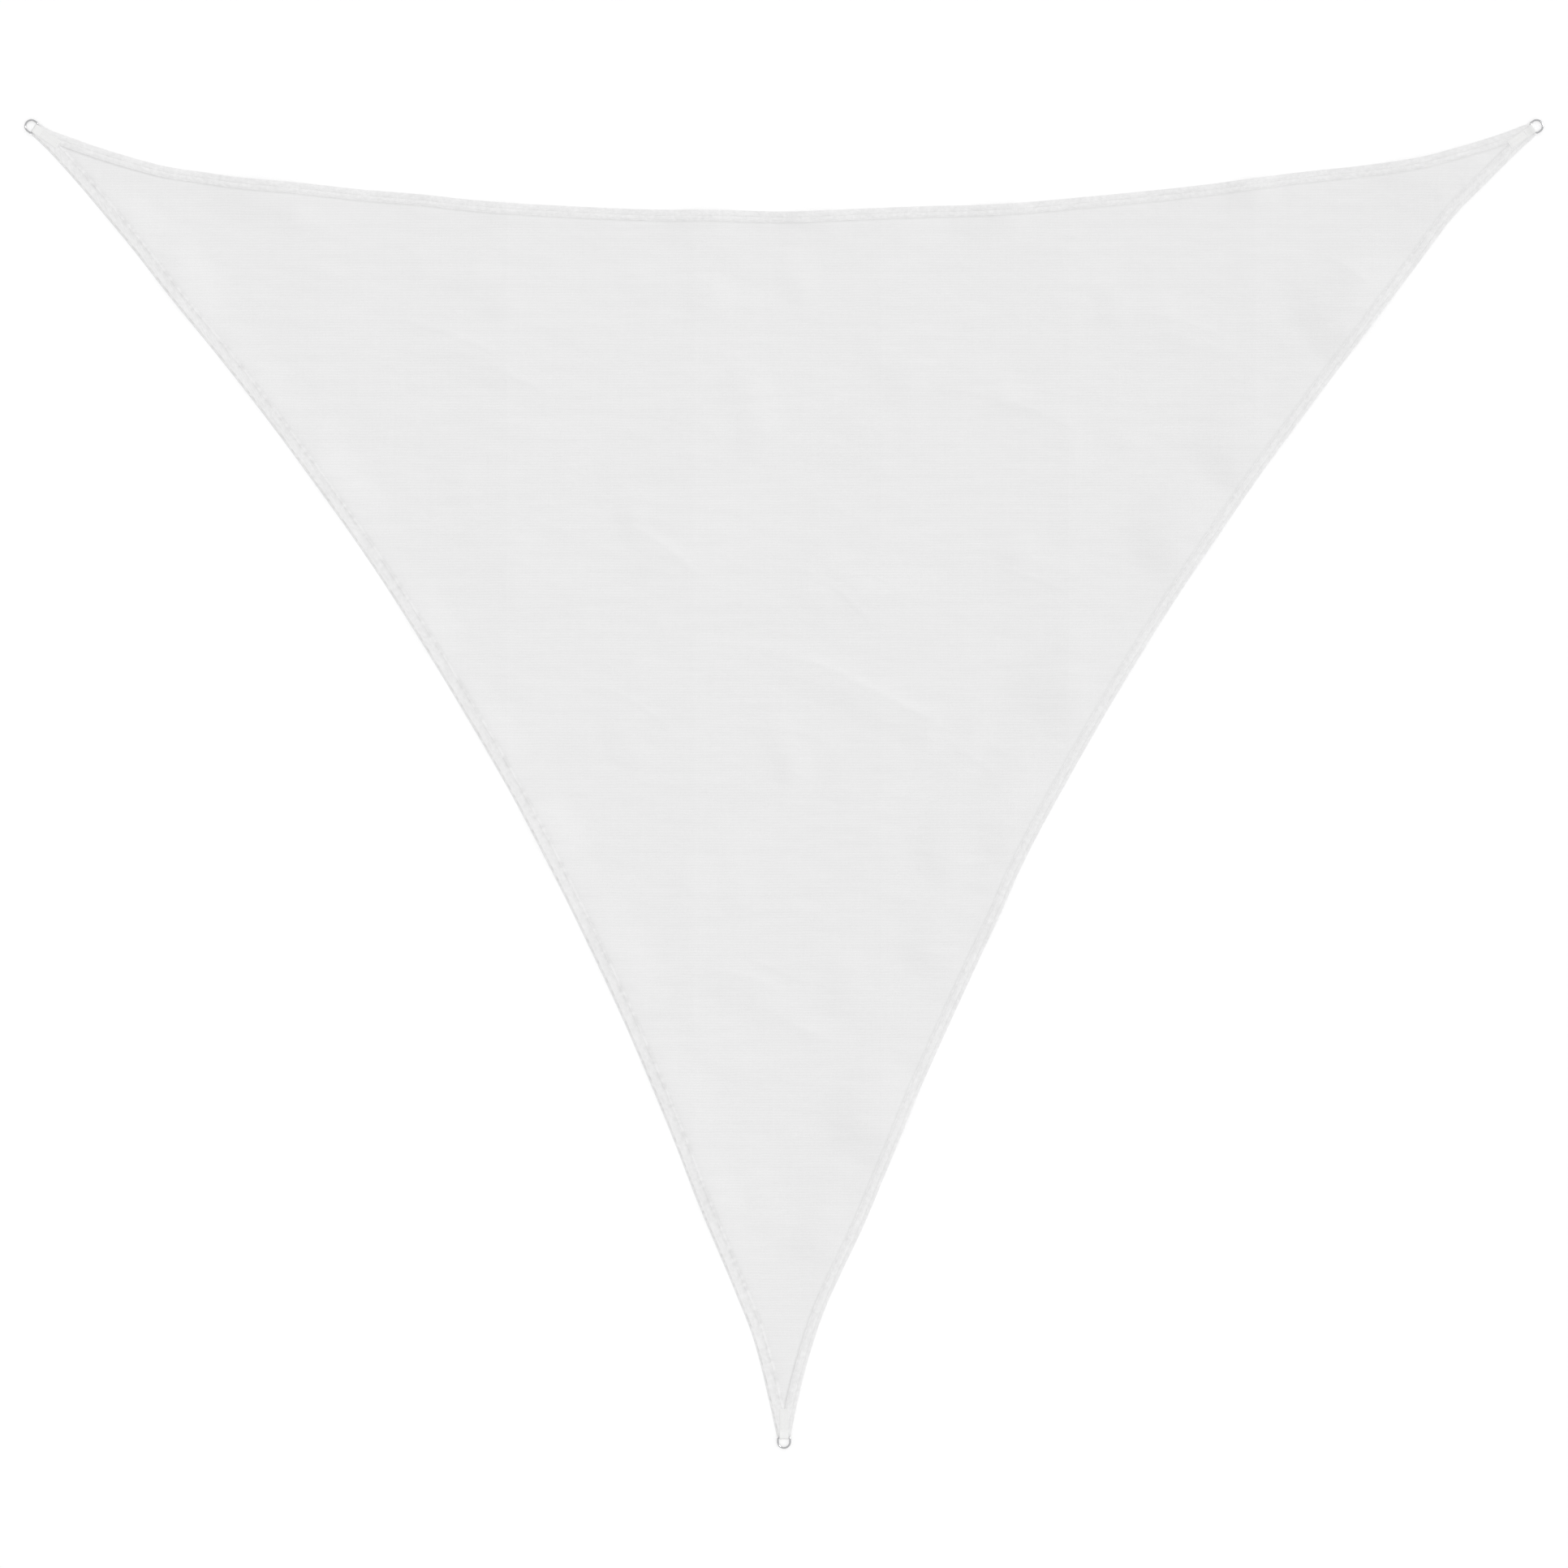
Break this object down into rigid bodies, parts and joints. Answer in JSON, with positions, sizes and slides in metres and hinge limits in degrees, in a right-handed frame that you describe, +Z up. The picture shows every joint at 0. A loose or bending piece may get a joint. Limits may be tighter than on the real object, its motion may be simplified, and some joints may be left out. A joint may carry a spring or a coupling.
{
  "type": "triangular shade sail",
  "caption": "Triangular shade sail of pale knitted cloth with hollow-cut hemmed edges and a steel D-ring in a webbing loop at each corner.",
  "frame": {"origin": "on the surface the sail lies on, under the middle of its bounding box", "axes": "+X along the top edge towards the right corner, +Y from the bottom corner towards the top edge, +Z up off the surface towards the camera"},
  "size_m": [4.9872, 4.3647, 0.0112],
  "materials": {
    "knitted_cloth": "matt knitted shade cloth of round yarns and flat tapes, very pale grey, with fine cross lines",
    "webbing": "matt woven webbing, near white",
    "polished_steel": "bright polished stainless steel wire"
  },
  "bodies": {
    "root": {"sail_cloth": "knitted_cloth", "corner_loop_left": "webbing", "corner_loop_right": "webbing", "corner_loop_bottom": "webbing", "ring_left": "polished_steel", "ring_right": "polished_steel", "ring_bottom": "polished_steel"}
  },
  "joints": []
}
